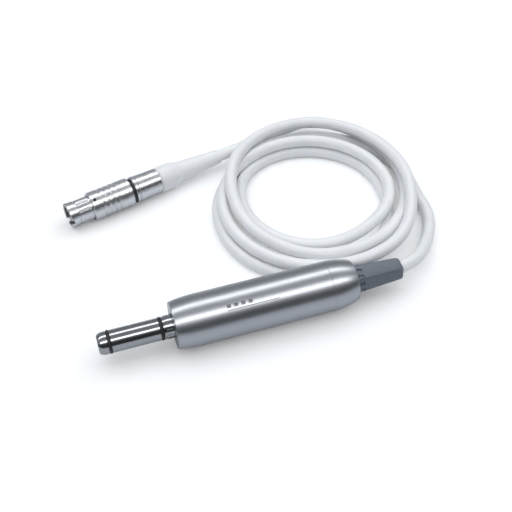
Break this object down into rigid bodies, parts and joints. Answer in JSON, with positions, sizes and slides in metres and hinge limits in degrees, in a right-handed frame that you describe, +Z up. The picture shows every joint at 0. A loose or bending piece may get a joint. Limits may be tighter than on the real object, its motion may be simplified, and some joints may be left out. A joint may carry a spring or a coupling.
{
  "type": "dental electric micromotor",
  "caption": "Cylindrical electric dental motor with a spigot coupling for handpieces, a coiled white silicone hose and a round push-pull multi-pin plug.",
  "frame": {"origin": "under the middle of the motor, nose tip to strain relief end, on the surface it lies on", "axes": "+X along the motor from its coupling nose to its hose, +Y towards the coiled hose, +Z up"},
  "size_m": [0.1777, 0.134, 0.0228],
  "materials": {
    "blasted_metal": "satin, bead blasted",
    "polished_steel": "mirror polished",
    "steel": "ground",
    "satin_nickel": "polished nickel",
    "black_rubber": "matte",
    "grey_rubber": "matte moulded",
    "white_silicone": "semi-matte",
    "core_steel": "stacked sheets",
    "copper": "enamelled wire",
    "magnet": "nickel plated",
    "band": "thin sleeve",
    "board_green": "solder mask",
    "chip_black": "moulded",
    "gold": "gold plated",
    "wire_grey": "wire insulation",
    "insulator": "moulded",
    "cage_plastic": "moulded",
    "enamel": "gloss"
  },
  "bodies": {
    "motor": {"nose_tube": "polished_steel", "nose_oring_front": "black_rubber", "nose_oring_rear": "black_rubber", "nose_collar": "polished_steel", "body_sleeve": "blasted_metal", "front_housing": "steel", "rear_cap": "blasted_metal", "rear_seal": "black_rubber", "strain_relief": "grey_rubber", "cable_clamp": "steel", "rear_housing": "steel", "stator_core": "core_steel", "stator_winding": "copper", "phase_wires": "wire_grey", "front_bearing_outer_race": "polished_steel", "rear_bearing_outer_race": "polished_steel", "preload_washer": "steel", "board_posts": "gold", "board_screws": "steel", "sensor_board": "board_green", "hall_sensors": "chip_black", "board_terminals": "gold", "motor_wires": "wire_grey", "hose_motor_end": "white_silicone", "plug_shell": "satin_nickel", "plug_release_spring": "steel", "plug_seal": "black_rubber", "plug_stop_ring": "satin_nickel", "plug_back_nut": "satin_nickel", "plug_insulator": "insulator", "plug_pins": "gold", "plug_cable_clamp": "steel", "plug_boot": "white_silicone", "hose_plug_end": "white_silicone", "plug_wires": "wire_grey", "hose_lead": "white_silicone", "hose_coil": "white_silicone", "hose_tail": "white_silicone"},
    "rotor": {"drive_shaft": "steel", "rotor_magnet": "magnet", "magnet_band": "band", "sensor_magnet": "magnet", "drive_pin": "steel", "front_bearing_inner_race": "polished_steel", "rear_bearing_inner_race": "polished_steel", "dog_spring": "steel"},
    "front_cage": {"front_bearing_cage": "cage_plastic", "front_bearing_balls": "polished_steel"},
    "rear_cage": {"rear_bearing_cage": "cage_plastic", "rear_bearing_balls": "polished_steel"},
    "drive_dog": {"drive_dog": "polished_steel"},
    "release_sleeve": {"plug_release_sleeve": "satin_nickel", "plug_alignment_dot": "enamel", "plug_latch_ring": "steel"}
  },
  "joints": [
    {"name": "rotor_spin", "type": "hinge", "parent": "motor", "child": "rotor", "pos_m": [0, 0, 0.0114], "axis": [1, 0, 0], "continuous": true},
    {"name": "front_cage_spin", "type": "hinge", "parent": "motor", "child": "front_cage", "pos_m": [-0.02775, 0, 0.0114], "axis": [1, 0, 0], "continuous": true},
    {"name": "rear_cage_spin", "type": "hinge", "parent": "motor", "child": "rear_cage", "pos_m": [0.01695, 0, 0.0114], "axis": [1, 0, 0], "continuous": true},
    {"name": "dog_slide", "type": "slide", "parent": "rotor", "child": "drive_dog", "axis": [1, 0, 0], "range_m": [0, 0.0015], "stiffness_N_per_m": 300, "springref_m": -0.001, "deforming": ["dog_spring"]},
    {"name": "release_sleeve_slide", "type": "slide", "parent": "motor", "child": "release_sleeve", "axis": [0.9715, 0.2368, 0], "range_m": [0, 0.0015], "stiffness_N_per_m": 800, "springref_m": -0.002, "deforming": ["plug_release_spring"]}
  ],
  "couplings": [
    {"joint": "front_cage_spin", "follows": "rotor_spin", "ratio": 0.3989},
    {"joint": "rear_cage_spin", "follows": "rotor_spin", "ratio": 0.3989}
  ]
}
